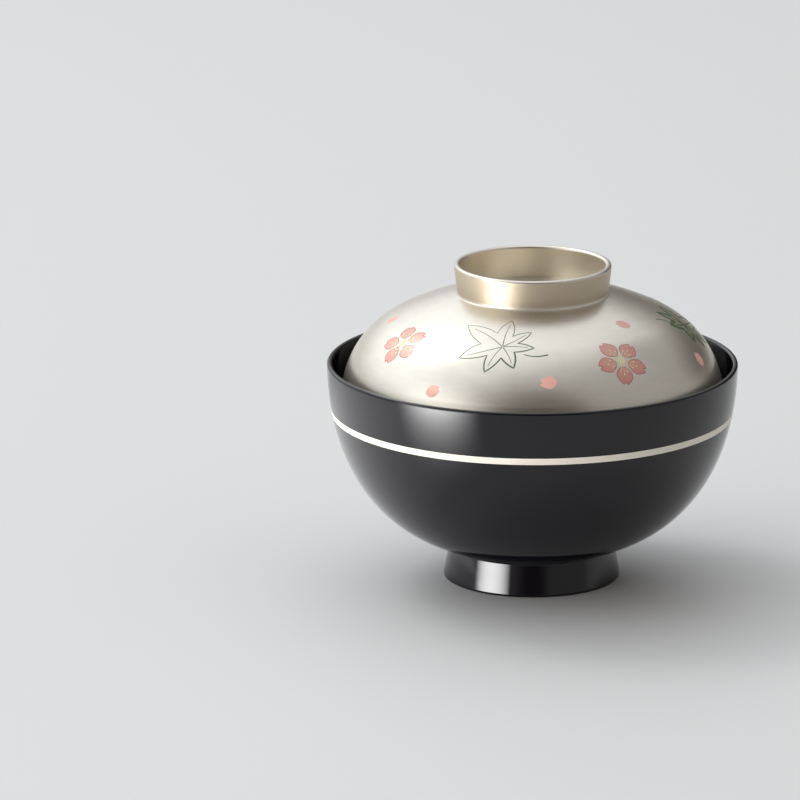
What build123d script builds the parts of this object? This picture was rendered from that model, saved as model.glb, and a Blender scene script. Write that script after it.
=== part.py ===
"""Covered soup bowl: a turned lacquer bowl on a foot ring, and a domed lid that drops inside its rim.

Millimetres, +Z up. The axis of the bowl is the Z axis, and the foot stands on Z = 0.
Each piece is turned from half a section, drawn on the XZ plane to the right of that axis.
"""
import os
from math import atan2, cos, degrees, radians, sin, sqrt

from build123d import *

# Bowl, outside
rim_radius = 61.0
bowl_height = 65.5
rim_lean = 0.8  # degrees from the vertical, at the lip
wall_fullness = 0.468  # how long the wall keeps to that lean, as a share of its height
belly_slope = 15.5  # degrees from the horizontal, at the foot
belly_fullness = 0.731  # how long the belly keeps to that slope, as a share of its width

# Bowl, inside
lip_thickness = 1.6
lip_round = 0.7
inner_lean = 10.9  # degrees from the vertical, so that the wall thickens down to the lid's seat
inner_wall_fullness = 0.602
inner_floor_fullness = 0.815
floor_thickness = 4.0

# Foot ring
foot_radius = 26.4
foot_flare = 1.8  # how much narrower the ring is at its neck
foot_height = 9.9
foot_ring_width = 3.0
foot_recess_depth = 7.0
foot_recess_taper = 1.6
foot_round = 0.6
foot_crease = 0.5

# Silver line round the bowl
band_drop = 14.8  # from the rim down to the middle of the line
band_width = 2.0
band_depth = 0.3

# Lid
seat_depth = 11.5  # from the rim to the lid's lip, down the inner wall
seat_clearance = 0.3
lid_wall = 2.4
lid_lip_round = 0.9
knuckle_radius = 28.6  # the turn from the lid's side to its top
crown_radius = 94.0  # the shallow top of the lid
ceiling_thickness = 2.8  # under the lifting ring
ceiling_round = 30.0
coat = 0.3  # silver lacquer
black_lip = 1.6  # height of the lip below the silver lacquer

# Lifting ring on the lid
ring_radius = 22.4  # outside, where it stands on the lid
ring_flare = 1.0  # how much wider it is at its top
ring_height = 8.9
ring_width = 1.9  # at its top
ring_taper = 0.3  # how much wider its hollow is at its top
ring_depth = 9.1  # from its top to its floor
ring_round = 0.8
ring_crease = 0.5

# Sides of a rectangle that lie above or below its place
above = (Align.CENTER, Align.MIN)
below = (Align.CENTER, Align.MAX)

os.makedirs("parts", exist_ok=True)


def along(start, angle, distance):
    """The point at a distance from the start, at an angle in degrees from the +X direction."""
    return (start[0] + distance * cos(radians(angle)), start[1] + distance * sin(radians(angle)))


def edge_round(radius, thickness):
    """The rounding of an edge, which stays under half of the wall that it rounds."""
    return min(radius, 0.49 * thickness)


# Ends of the bowl's curves
rim_outer = (rim_radius, bowl_height)
rim_inner = (rim_radius - lip_thickness, bowl_height)
foot_neck = (foot_radius - foot_flare, foot_height)
foot_inner_radius = foot_radius - foot_ring_width
floor_level = foot_recess_depth + floor_thickness

with BuildLine():
    inner_wall = Bezier(
        rim_inner,
        along(rim_inner, 270 - inner_lean, inner_wall_fullness * (bowl_height - floor_level)),
        (inner_floor_fullness * rim_inner[0], floor_level),
        (0, floor_level),
    )

# Bowl with its foot ring
with BuildPart() as bowl_body:
    with BuildSketch(Plane.XZ) as bowl_section:
        with BuildLine():
            Bezier(
                rim_outer,
                along(rim_outer, 270 - rim_lean, wall_fullness * (bowl_height - foot_height)),
                along(foot_neck, belly_slope, belly_fullness * (rim_radius - foot_neck[0])),
                foot_neck,
            )
            Polyline(
                foot_neck,
                (foot_radius, 0),
                (foot_inner_radius, 0),
                (foot_inner_radius - foot_recess_taper, foot_recess_depth),
                (0, foot_recess_depth),
                (0, floor_level),
            )
            add(inner_wall)
            Line(rim_inner, rim_outer)
        make_face()
        corners = bowl_section.vertices()
        fillet(corners.group_by(Axis.Y)[-1], edge_round(lip_round, lip_thickness))
        fillet(corners.group_by(Axis.Y)[0], edge_round(foot_round, foot_ring_width))
        fillet(corners.sort_by_distance(foot_neck)[0], foot_crease)
    revolve(axis=Axis.Z)
    # Groove for the silver line: the skin of the wall, as high as the line is wide
    with BuildSketch(Plane.XZ) as band_section:
        with Locations((rim_radius, bowl_height - band_drop)):
            Rectangle(rim_radius, band_width)
        add(bowl_section.sketch_local, mode=Mode.INTERSECT)
        with Locations((-band_depth, 0)):
            add(bowl_section.sketch_local, mode=Mode.SUBTRACT)
    revolve(axis=Axis.Z, mode=Mode.SUBTRACT)

# Silver line, flush in its groove
with BuildPart() as silver_band:
    with BuildSketch(Plane.XZ):
        add(band_section.sketch_local)
    revolve(axis=Axis.Z)

# The lid's lip lies against the inner wall of the bowl, a clearance away
seat = inner_wall.position_at(seat_depth, position_mode=PositionMode.LENGTH)
lid_radius = seat.X - seat_clearance
lip_level = seat.Y

# The crown's centre lies on the axis, where crown and knuckle run into each other
knuckle = (lid_radius - knuckle_radius, lip_level)
crown = (0, lip_level - sqrt((crown_radius - knuckle_radius) ** 2 - knuckle[0] ** 2))
knuckle_turn = degrees(atan2(knuckle[1] - crown[1], knuckle[0]))

# Levels and radii of the lifting ring, whose sides run on down into the lid
ring_base = crown[1] + sqrt(crown_radius**2 - ring_radius**2)
ring_top = ring_base + ring_height
ring_floor = ring_top - ring_depth
ceiling_level = ring_floor - ceiling_thickness
ring_top_radius = ring_radius + ring_flare
ring_root_radius = ring_radius - ring_flare * (ring_base - ceiling_level) / ring_height
hollow_top_radius = ring_top_radius - ring_width


def dome(depth):
    """Half the section of the lid's filled dome, drawn in from its outside by a depth."""
    with BuildSketch() as section:
        with BuildLine():
            side = CenterArc(knuckle, knuckle_radius - depth, 0, knuckle_turn)
            top = CenterArc(crown, crown_radius - depth, knuckle_turn, 90 - knuckle_turn)
            Polyline(top @ 1, (0, lip_level), side @ 0)
        make_face()
    return section.sketch


def dome_with_ring(depth):
    """The same half section with the lifting ring on it, drawn in by the same depth."""
    with BuildSketch() as section:
        add(dome(depth))
        with BuildLine():
            Polyline(
                (0, ceiling_level),
                (ring_root_radius - depth, ceiling_level),
                (ring_top_radius - depth, ring_top - depth),
                (0, ring_top - depth),
                close=True,
            )
        make_face()
        with BuildLine():
            Polyline(
                (0, ring_floor - depth),
                (hollow_top_radius - ring_taper + depth, ring_floor - depth),
                (hollow_top_radius + depth, ring_top),
                (0, ring_top),
                close=True,
            )
        make_face(mode=Mode.SUBTRACT)
        corners = section.vertices()
        fillet(corners.group_by(Axis.Y)[-1], edge_round(ring_round - depth, ring_width - 2 * depth))
        crease = corners.sort_by_distance((ring_radius - depth, ring_base - depth))[0]
        fillet(crease, ring_crease + depth)
    return section.sketch


# Hollow of the lid: the dome drawn in by the wall, and cut flat under the lifting ring
with BuildSketch() as lid_hollow:
    add(dome(lid_wall))
    with Locations((0, ceiling_level)):
        Rectangle(2 * lid_radius, 2 * lid_radius, align=above, mode=Mode.SUBTRACT)
    ceiling_edge = lid_hollow.vertices().group_by(Axis.Y)[-1].sort_by(Axis.X)[-1]
    fillet(ceiling_edge, ceiling_round)

# Lid with the core of its lifting ring, at its full width only on the black lip
with BuildPart() as lid_body:
    with BuildSketch(Plane.XZ) as lid_section:
        add(dome(0))
        with Locations((0, lip_level)):
            Rectangle(2 * lid_radius, black_lip, align=above, mode=Mode.INTERSECT)
        add(dome_with_ring(coat))
        add(lid_hollow.sketch, mode=Mode.SUBTRACT)
        fillet(lid_section.vertices().group_by(Axis.Y)[0], edge_round(lid_lip_round, lid_wall))
    revolve(axis=Axis.Z)

# Silver lacquer over the outside of the lid, down to the black lip
with BuildPart() as lid_silver_coat:
    with BuildSketch(Plane.XZ):
        add(dome_with_ring(0))
        add(dome_with_ring(coat), mode=Mode.SUBTRACT)
        with Locations((0, lip_level + black_lip)):
            Rectangle(2 * lid_radius, 2 * lid_radius, align=below, mode=Mode.SUBTRACT)
    revolve(axis=Axis.Z)

bowl_body.part.label = "bowl_body"
silver_band.part.label = "silver_band"
lid_body.part.label = "lid_body"
lid_silver_coat.part.label = "lid_silver_coat"

export_step(bowl_body.part, "parts/bowl_body.step")
export_step(silver_band.part, "parts/silver_band.step")
export_step(lid_body.part, "parts/lid_body.step")
export_step(lid_silver_coat.part, "parts/lid_silver_coat.step")
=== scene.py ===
"""Covered soup bowl: a turned lacquer bowl and its painted silver lid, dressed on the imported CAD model.

Metres, +Z up, as in the CAD model. The bowl's axis is the Z axis and its foot stands on Z = 0.
An azimuth is measured round that axis from the front, -Y, towards +X.
"""
import math

import bpy
from bpy.props import FloatProperty, FloatVectorProperty, IntProperty, PointerProperty
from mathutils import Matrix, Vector
from mathutils.geometry import interpolate_bezier


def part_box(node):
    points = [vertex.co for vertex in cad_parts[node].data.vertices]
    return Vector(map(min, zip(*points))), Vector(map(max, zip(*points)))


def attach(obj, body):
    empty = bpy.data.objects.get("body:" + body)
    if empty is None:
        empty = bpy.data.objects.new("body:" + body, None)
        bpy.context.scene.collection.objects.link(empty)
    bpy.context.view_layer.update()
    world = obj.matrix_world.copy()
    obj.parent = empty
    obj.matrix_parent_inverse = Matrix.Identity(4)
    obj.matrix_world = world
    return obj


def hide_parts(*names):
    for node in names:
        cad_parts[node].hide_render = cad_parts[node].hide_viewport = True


bl_info = {
    "name": "Covered Soup Bowl",
    "version": (1, 0, 0),
    "blender": (4, 5, 0),
    "location": "3D View > Sidebar > Soup Bowl",
    "description": "Turns, lacquers and paints a covered soup bowl on its packed CAD model",
    "category": "Add Mesh",
}

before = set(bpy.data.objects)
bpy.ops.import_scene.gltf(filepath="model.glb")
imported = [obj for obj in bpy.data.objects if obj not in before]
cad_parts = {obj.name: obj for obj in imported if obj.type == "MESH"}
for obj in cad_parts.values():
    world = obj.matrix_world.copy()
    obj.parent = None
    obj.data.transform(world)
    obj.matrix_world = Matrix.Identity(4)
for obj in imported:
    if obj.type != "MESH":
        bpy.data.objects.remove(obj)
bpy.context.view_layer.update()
bowl_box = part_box("bowl_body")
band_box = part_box("silver_band")
lid_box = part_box("lid_body")
coat_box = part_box("lid_silver_coat")

MM = 0.001
TENTH = 4  # decimals of a metre that make a tenth of a millimetre

# Bowl, as it is turned. Leans and slopes are degrees from the vertical and the horizontal, and a
# fullness is the share of a curve's height or width for which it keeps to them.
rim_radius = round(bowl_box[1].x, TENTH)
bowl_height = bowl_box[1].z
rim_lean = 0.8
wall_fullness = 0.468
belly_slope = 15.5
belly_fullness = 0.731
lip_thickness = 1.6 * MM
lip_round = 0.7 * MM
inner_lean = 10.9
inner_wall_fullness = 0.602
inner_floor_fullness = 0.815
foot_radius = 26.4 * MM
foot_flare = 1.8 * MM
foot_height = 9.9 * MM
foot_ring_width = 3.0 * MM
foot_recess_depth = 7.0 * MM
foot_recess_taper = 1.6 * MM
foot_round = 0.6 * MM
foot_crease = 0.5 * MM
floor_level = 11.0 * MM
band_depth = 0.3 * MM

# Lid, as it is turned
lid_wall = 2.4 * MM
lid_lip_round = 0.9 * MM
lid_radius = 56.82 * MM
lip_level = lid_box[0].z
knuckle_radius = 28.6 * MM
crown_radius = 94.0 * MM
ceiling_thickness = 2.8 * MM
ceiling_round = 30.0 * MM
coat_thickness = 0.3 * MM
coat_edge = coat_box[0].z
ring_top = coat_box[1].z
ring_radius = 22.4 * MM
ring_flare = 1.0 * MM
ring_height = 8.9 * MM
ring_width = 1.9 * MM
ring_taper = 0.3 * MM
ring_depth = 9.1 * MM
ring_round = 0.8 * MM
ring_crease = 0.5 * MM

# Levels and centres that follow from them
knuckle_centre = Vector((lid_radius - knuckle_radius, lip_level))
crown_reach = crown_radius - knuckle_radius
crown_centre = Vector((0, lip_level - math.sqrt(crown_reach**2 - knuckle_centre.x**2)))
knuckle_turn = math.atan2(knuckle_centre.y - crown_centre.y, knuckle_centre.x)
ring_base = ring_top - ring_height
ring_floor = ring_top - ring_depth
ceiling_level = ring_floor - ceiling_thickness

# Fineness of the turned sections
curve_steps = 72
arc_step = math.radians(1.2)
round_steps = 6
round_limit = 0.49  # the largest rounding of an edge, as a share of the wall that it rounds
brace = 0.05 * MM  # from a rounded corner to a point that keeps the straight stretch beside it flat


class Graph:
    """A node tree that is written as expressions."""

    spacing = 200  # between the nodes, for someone who opens the tree

    def __init__(self, tree):
        self.tree = tree
        tree.nodes.clear()

    def add(self, kind, settings=None, inputs=None):
        """Adds a node, sets it, and fills its sockets with values, links or lists of links."""
        node = self.tree.nodes.new(kind)
        node.location.x = self.spacing * len(self.tree.nodes)
        settings = dict(settings or {})
        for number, (position, colour) in enumerate(settings.pop("stops", ())):
            elements = node.color_ramp.elements
            stop = elements[number] if number < len(elements) else elements.new(position)
            stop.position = position
            stop.color = colour
        for name, value in settings.items():
            setattr(node, name, value)
        for name, value in (inputs or {}).items():
            socket = find_socket(node.inputs, name)
            for each in value if isinstance(value, list) else [value]:
                if isinstance(each, Value):
                    self.tree.links.new(each.socket, socket)
                else:
                    socket.default_value = each
        return Outputs(self, node)

    def math(self, operation, *values):
        """A Math node on values or numbers."""
        return self.add("ShaderNodeMath", {"operation": operation}, dict(enumerate(values)))["Value"]

    def parts(self, vector):
        """The X, Y and Z of a vector."""
        return self.add("ShaderNodeSeparateXYZ", inputs={"Vector": vector})

    def vector(self, **parts):
        """A vector from its X, Y and Z."""
        return self.add("ShaderNodeCombineXYZ", inputs=parts)["Vector"]

    def dot(self, first, second):
        """How far two directions agree."""
        inputs = {0: first, 1: second}
        return self.add("ShaderNodeVectorMath", {"operation": "DOT_PRODUCT"}, inputs)["Value"]

    def rotated(self, vector, axis, angle):
        """A vector turned round an axis."""
        inputs = {"Vector": vector, "Angle": angle}
        return self.add("ShaderNodeVectorRotate", {"rotation_type": axis}, inputs)["Vector"]


class Outputs:
    """The outputs of a node, by name."""

    def __init__(self, graph, node):
        self.graph = graph
        self.node = node

    def __getitem__(self, name):
        return Value(self.graph, find_socket(self.node.outputs, name))


def arithmetic(operation):
    """An operator on a value, and its reflected form."""

    def straight(self, other):
        return self.graph.math(operation, self, other)

    def reflected(self, other):
        return self.graph.math(operation, other, self)

    return straight, reflected


class Value:
    """One output of a node, on which arithmetic adds Math nodes."""

    def __init__(self, graph, socket):
        self.graph = graph
        self.socket = socket

    __add__, __radd__ = arithmetic("ADD")
    __sub__, __rsub__ = arithmetic("SUBTRACT")
    __mul__, __rmul__ = arithmetic("MULTIPLY")
    __truediv__, __rtruediv__ = arithmetic("DIVIDE")
    __mod__, __rmod__ = arithmetic("MODULO")
    __pow__, __rpow__ = arithmetic("POWER")


def find_socket(sockets, name):
    """The socket of that name or number that is in use with the node's settings."""
    if isinstance(name, int):
        return sockets[name]
    return next(socket for socket in sockets if socket.enabled and socket.name == name)


# Sections of the turned pieces, as points (radius, height)


def along(start, angle, distance):
    """The point at a distance from the start, at an angle in degrees from the radius."""
    return start + distance * Vector((math.cos(math.radians(angle)), math.sin(math.radians(angle))))


def curve(start, first, second, end):
    """A cubic curve between two points, bent by two handles."""
    return interpolate_bezier(start, first, second, end, curve_steps)


def arc(centre, radius, start, end, steps=None):
    """A round stretch between two angles in radians."""
    steps = steps or max(2, math.ceil(abs(end - start) / arc_step))
    angles = [start + (end - start) * step / steps for step in range(steps + 1)]
    return [centre + radius * Vector((math.cos(angle), math.sin(angle))) for angle in angles]


def cut_back(path, distance):
    """A path without a stretch of that length at its end."""
    kept = list(path)
    while (kept[-1] - kept[-2]).length <= distance:
        distance -= (kept[-1] - kept[-2]).length
        kept.pop()
    kept[-1] = kept[-1] + (kept[-2] - kept[-1]).normalized() * distance
    return kept


def joined(first, second, radius=0.0):
    """Two paths that meet in a corner, which is rounded to a radius."""
    if not radius:
        return first + second[1:]
    arrival = (first[-1] - first[-2]).normalized()
    departure = (second[1] - second[0]).normalized()
    turn = arrival.angle(departure)
    inward = (departure - arrival).normalized()
    centre = first[-1] + inward * radius / math.cos(turn / 2)
    setback = radius * math.tan(turn / 2)
    middle = math.atan2(-inward.y, -inward.x)
    side = math.copysign(turn / 2, arrival.x * departure.y - arrival.y * departure.x)
    bend = arc(centre, radius, middle - side, middle + side, round_steps)
    before = cut_back(first, setback + brace)
    after = cut_back(second[::-1], setback + brace)[::-1]
    return before + bend + after


def between(path, low, high):
    """The stretch of a rising path between two levels."""
    inside = [point for point in path if low < point.y < high]
    return [at_level(path, low), *inside, at_level(path, high)]


def at_level(path, level):
    """The point of a rising path at a level."""
    for lower, upper in zip(path, path[1:]):
        if lower.y <= level <= upper.y:
            return lower.lerp(upper, (level - lower.y) / (upper.y - lower.y))
    raise ValueError(f"the path doesn't reach the level {level}")


def outer_wall():
    """The outside of the bowl, from the neck of its foot up to the rim."""
    rim = Vector((rim_radius, bowl_height))
    neck = Vector((foot_radius - foot_flare, foot_height))
    low_handle = along(neck, belly_slope, belly_fullness * (rim.x - neck.x))
    high_handle = along(rim, 270 - rim_lean, wall_fullness * (rim.y - neck.y))
    return curve(neck, low_handle, high_handle, rim)


def band_stretch():
    """The outside of the bowl under the silver line, and the bottom of the line's groove."""
    face = between(outer_wall(), band_box[0].z, band_box[1].z)
    return face, [point - Vector((band_depth, 0)) for point in face]


def bowl_section():
    """The bowl, from the middle of its foot recess round to the middle of its floor."""
    foot_inner = foot_radius - foot_ring_width
    recess_radius = foot_inner - foot_recess_taper
    recess = [Vector((0, foot_recess_depth)), Vector((recess_radius, foot_recess_depth))]
    recess_wall = [recess[1], Vector((foot_inner, 0))]
    face = [recess_wall[1], Vector((foot_radius, 0))]
    foot = [face[1], Vector((foot_radius - foot_flare, foot_height))]
    wall = outer_wall()
    groove = band_stretch()[1]
    low_wall = between(wall, foot_height, band_box[0].z)
    high_wall = between(wall, band_box[1].z, bowl_height)
    rim_inner = Vector((rim_radius - lip_thickness, bowl_height))
    lip = [high_wall[-1], rim_inner]
    inside = curve(
        rim_inner,
        along(rim_inner, 270 - inner_lean, inner_wall_fullness * (bowl_height - floor_level)),
        Vector((inner_floor_fullness * rim_inner.x, floor_level)),
        Vector((0, floor_level)),
    )
    section = joined(recess, recess_wall)
    section = joined(section, face, foot_round)
    section = joined(section, foot, foot_round)
    section = joined(section, low_wall, foot_crease)
    section = section + groove
    section = section + high_wall
    section = joined(section, lip, lip_round)
    return joined(section, inside, lip_round)


def band_section():
    """The silver line, flush in its groove."""
    face, bottom = band_stretch()
    return [*face, *bottom[::-1], face[0]]


def dome(depth, start, bottom):
    """The outside of the lid drawn in by a depth, from an angle at the crown down to a level."""
    crown = arc(crown_centre, crown_radius - depth, start, knuckle_turn)
    foot_angle = math.asin((bottom - lip_level) / (knuckle_radius - depth))
    knuckle = arc(knuckle_centre, knuckle_radius - depth, knuckle_turn, foot_angle)
    return crown + knuckle[1:]


def ring_foot(depth):
    """The angle at the crown where the outer side of the lifting ring meets the lid."""
    radius = ring_radius - depth
    return math.atan2(math.sqrt((crown_radius - depth) ** 2 - radius**2), radius)


def lid_skin(depth):
    """The lid's outside with its ring, drawn in by a depth, from its middle to the coat's edge."""
    top = ring_top - depth
    floor = ring_floor - depth
    outer_top = ring_radius + ring_flare - depth
    hollow_top = ring_radius + ring_flare - ring_width + depth
    hollow = [Vector((0, floor)), Vector((hollow_top - ring_taper, floor))]
    hollow_wall = [hollow[1], Vector((hollow_top, top))]
    ring_edge = [hollow_wall[1], Vector((outer_top, top))]
    slope = dome(depth, ring_foot(depth), coat_edge)
    ring_wall = [ring_edge[1], slope[0]]
    edge_round = min(ring_round - depth, round_limit * (ring_width - 2 * depth))
    skin = joined(hollow, hollow_wall)
    skin = joined(skin, ring_edge, edge_round)
    skin = joined(skin, ring_wall, edge_round)
    return joined(skin, slope, ring_crease + depth)


def lid_hollow():
    """The inside of the lid, from the middle of its ceiling to the lip."""
    inner_crown = crown_radius - lid_wall
    bend_level = ceiling_level - ceiling_round
    bend_radius = math.sqrt((inner_crown - ceiling_round) ** 2 - (bend_level - crown_centre.y) ** 2)
    bend_centre = Vector((bend_radius, bend_level))
    bend_end = math.atan2(bend_level - crown_centre.y, bend_radius)
    bend = arc(bend_centre, ceiling_round, math.pi / 2, bend_end)
    return [Vector((0, ceiling_level)), *bend, *dome(lid_wall, bend_end, lip_level)[1:]]


def lid_section():
    """The lid with the core of its lifting ring, at full width only on the black lip."""
    hollow = lid_hollow()
    lip = [hollow[-1], Vector((lid_radius, lip_level))]
    edge_angle = math.asin((coat_edge - lip_level) / knuckle_radius)
    side = arc(knuckle_centre, knuckle_radius, 0, edge_angle)
    section = joined(hollow, lip, lid_lip_round)
    section = joined(section, side, lid_lip_round)
    return section + lid_skin(coat_thickness)[::-1]


def coat_section():
    """The silver coat, from its underside in the middle of the ring round to its top there."""
    return lid_skin(coat_thickness) + lid_skin(0)[::-1]


def dome_meridian():
    """The outside of the lid from the axis to the coat's edge, as if it had no lifting ring."""
    return dome(0, math.pi / 2, coat_edge)


# Geometry Nodes trees

crease_angle = math.radians(35)  # an edge that turns by more stays sharp
seam_weld = 1e-6  # metres
patch_weld = 1e-7
brush_sides = 8


def geometry_graph(name, sockets):
    """A new tree with a geometry input and the named inputs, and a reader for them."""
    tree = bpy.data.node_groups.new(name, "GeometryNodeTree")
    tree.interface.new_socket("Geometry", in_out="INPUT", socket_type="NodeSocketGeometry")
    for socket_name, socket_type in sockets.items():
        tree.interface.new_socket(socket_name, in_out="INPUT", socket_type=socket_type)
    tree.interface.new_socket("Geometry", in_out="OUTPUT", socket_type="NodeSocketGeometry")
    graph = Graph(tree)
    return graph, graph.add("NodeGroupInput")


def close_graph(graph, geometry, material):
    """Ends a tree: sharp edges where the shape turns sharply, real geometry and its material."""
    smooth = graph.add("GeometryNodeSetShadeSmooth", inputs={"Geometry": geometry})["Geometry"]
    bend = graph.add("GeometryNodeInputMeshEdgeAngle")["Unsigned Angle"]
    sharp = graph.add("FunctionNodeCompare", inputs={"A": bend, "B": crease_angle})["Result"]
    creased = graph.add(
        "GeometryNodeSetShadeSmooth",
        {"domain": "EDGE"},
        {"Geometry": smooth, "Selection": sharp, "Shade Smooth": False},
    )["Geometry"]
    real = graph.add("GeometryNodeRealizeInstances", inputs={"Geometry": creased})["Geometry"]
    finished = graph.add("GeometryNodeSetMaterial", inputs={"Geometry": real, "Material": material})
    graph.add("NodeGroupOutput", inputs={"Geometry": finished["Geometry"]})
    return graph.tree


def welded(graph, mesh, distance):
    """A mesh whose points within a distance of each other are one."""
    inputs = {"Geometry": mesh, "Distance": distance}
    return graph.add("GeometryNodeMergeByDistance", inputs=inputs)["Geometry"]


def moved(graph, mesh, places):
    """A mesh with its points at other places."""
    inputs = {"Geometry": mesh, "Position": places}
    return graph.add("GeometryNodeSetPosition", inputs=inputs)["Geometry"]


def shape_of(graph, holder):
    """The geometry of an object."""
    return graph.add("GeometryNodeObjectInfo", inputs={"Object": holder})["Geometry"]


def lines_of(graph, holder):
    """The edges of an object, as curves."""
    return graph.add("GeometryNodeMeshToCurve", inputs={"Mesh": shape_of(graph, holder)})["Curve"]


def on_curve(graph, curves, length):
    """The point of a curve at a length from its start, and the tangent there."""
    return graph.add("GeometryNodeSampleCurve", {"mode": "LENGTH"}, {"Curves": curves, "Length": length})


def point_place(graph):
    """Where a point of the mesh is."""
    return graph.add("GeometryNodeInputPosition")["Position"]


def attribute(graph, name):
    """A number that the points carry under a name."""
    return graph.add("GeometryNodeInputNamedAttribute", inputs={"Name": name})["Attribute"]


def turning_tree():
    """A section beside the axis, turned once round it, with its seam and poles closed."""
    name = "Turn on axis"
    if name in bpy.data.node_groups:
        return bpy.data.node_groups[name]
    graph, given = geometry_graph(name, {"Sides": "NodeSocketInt", "Material": "NodeSocketMaterial"})
    section = given["Geometry"]
    count = graph.add("GeometryNodeAttributeDomainSize", inputs={"Geometry": section})["Point Count"]
    counts = {"Vertices X": given["Sides"] + 1, "Vertices Y": count}
    sheet = graph.add("GeometryNodeMeshGrid", inputs=counts)["Mesh"]
    index = graph.add("GeometryNodeInputIndex")["Index"]
    on_section = graph.add(
        "GeometryNodeSampleIndex",
        {"data_type": "FLOAT_VECTOR"},
        {"Geometry": section, "Value": point_place(graph), "Index": index % count},
    )["Value"]
    turn = graph.math("FLOOR", index / count) * math.tau / given["Sides"]
    wrapped = moved(graph, sheet, graph.rotated(on_section, "Z_AXIS", turn))
    return close_graph(graph, welded(graph, wrapped, seam_weld), given["Material"])


paint_inputs = {
    "Motif": "NodeSocketObject",
    "Meridian": "NodeSocketObject",
    "Side": "NodeSocketFloat",
    "Thickness": "NodeSocketFloat",
    "Material": "NodeSocketMaterial",
}


def lay_on_surface(graph, given, flat):
    """Lays a flat motif on a turned surface, at each place that the geometry input gives.

    The motif's X runs round the surface and its Y towards the axis. A place has an azimuth, a reach,
    which is its distance from the axis along the surface, a turn of the motif and its size.
    """
    instances = {
        "Points": given["Geometry"],
        "Instance": flat,
        "Rotation": graph.vector(Z=attribute(graph, "turn")),
        "Scale": attribute(graph, "size"),
    }
    copies = graph.add("GeometryNodeInstanceOnPoints", inputs=instances)["Instances"]
    real = graph.add("GeometryNodeRealizeInstances", inputs={"Geometry": copies})["Geometry"]
    meridian = lines_of(graph, given["Meridian"])
    reach = attribute(graph, "reach")
    centre_radius = graph.parts(on_curve(graph, meridian, reach)["Position"])["X"]
    offset = graph.parts(point_place(graph))
    outward = reach - offset["Y"]
    across = offset["X"] * reach / centre_radius
    length = (outward * outward + across * across) ** 0.5
    bearing = attribute(graph, "azimuth") + given["Side"] * graph.math("ARCTAN2", across, outward)
    surface = on_curve(graph, meridian, length)
    normal = graph.rotated(surface["Tangent"], "Y_AXIS", given["Side"] * (-math.pi / 2))
    lifted = graph.add(
        "ShaderNodeVectorMath",
        {"operation": "MULTIPLY_ADD"},
        {0: normal, 1: offset["Z"], 2: surface["Position"]},
    )["Vector"]
    laid = moved(graph, real, graph.rotated(lifted, "Z_AXIS", bearing - math.pi / 2))
    return close_graph(graph, laid, given["Material"])


def patch_tree():
    """Flat faces made into thin patches of paint, half sunk into the lacquer."""
    name = "Paint patches"
    if name in bpy.data.node_groups:
        return bpy.data.node_groups[name]
    graph, given = geometry_graph(name, paint_inputs)
    faces = welded(graph, shape_of(graph, given["Motif"]), patch_weld)
    sunk = {"Geometry": faces, "Translation": graph.vector(Z=given["Thickness"] * -1.0)}
    bottom = graph.add("GeometryNodeTransform", inputs=sunk)["Geometry"]
    walls = {"Mesh": bottom, "Offset Scale": given["Thickness"] * 2.0, "Individual": False}
    top = graph.add("GeometryNodeExtrudeMesh", inputs=walls)["Mesh"]
    underside = graph.add("GeometryNodeFlipFaces", inputs={"Mesh": bottom})["Mesh"]
    both = graph.add("GeometryNodeJoinGeometry", inputs={"Geometry": [top, underside]})["Geometry"]
    return lay_on_surface(graph, given, welded(graph, both, patch_weld))


def stroke_tree():
    """Lines drawn with a brush, whose width they carry, as low rounded ridges of paint."""
    name = "Paint strokes"
    if name in bpy.data.node_groups:
        return bpy.data.node_groups[name]
    graph, given = geometry_graph(name, paint_inputs)
    lines = lines_of(graph, given["Motif"])
    level = graph.add("GeometryNodeSetCurveNormal", {"mode": "Z_UP"}, {"Curve": lines})["Curve"]
    round_brush = {"Resolution": brush_sides, "Radius": 0.5}
    bristles = graph.add("GeometryNodeCurvePrimitiveCircle", inputs=round_brush)["Curve"]
    brush = attribute(graph, "brush")
    sweep = {"Curve": level, "Profile Curve": bristles, "Scale": brush, "Fill Caps": True}
    ridges = graph.add("GeometryNodeCurveToMesh", inputs=sweep)["Mesh"]
    spot = graph.parts(point_place(graph))
    height = spot["Z"] / brush * given["Thickness"] * 2
    low = graph.vector(X=spot["X"], Y=spot["Y"], Z=height)
    return lay_on_surface(graph, given, moved(graph, ridges, low))


def make_object(name, points, edges=(), faces=()):
    """A new object from points in metres."""
    mesh = bpy.data.meshes.new(name)
    mesh.from_pydata(points, edges, faces)
    made = bpy.data.objects.new(name, mesh)
    bpy.context.scene.collection.objects.link(made)
    return made


def set_numbers(piece, name, numbers):
    """Gives each point of a piece a number under a name."""
    piece.data.attributes.new(name, "FLOAT", "POINT").data.foreach_set("value", numbers)


def line_object(name, section):
    """A section or meridian as a line of points in the XZ plane."""
    edges = [(number, number + 1) for number in range(len(section) - 1)]
    return make_object(name, [(point.x, 0, point.y) for point in section], edges)


def grow(piece, tree, values):
    """Runs a tree on a piece, and keeps the result as the piece's plain mesh."""
    modifier = piece.modifiers.new(tree.name, "NODES")
    modifier.node_group = tree
    for name, value in values.items():
        modifier[tree.interface.items_tree[name].identifier] = value
    piece.update_tag()
    seed = piece.data
    evaluated = piece.evaluated_get(bpy.context.evaluated_depsgraph_get())
    mesh = bpy.data.meshes.new_from_object(evaluated)
    piece.modifiers.clear()
    piece.data = mesh
    mesh.name = piece.name
    bpy.data.meshes.remove(seed)
    if not mesh.polygons:
        raise RuntimeError(f"{piece.name} came out empty")
    return piece


def turn_piece(name, section, material):
    """A piece turned from its section."""
    sides = bpy.context.scene.soup_bowl_finish.sides
    return grow(line_object(name, section), turning_tree(), {"Sides": sides, "Material": material})


# Motifs, drawn flat and then laid on the lid


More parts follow.
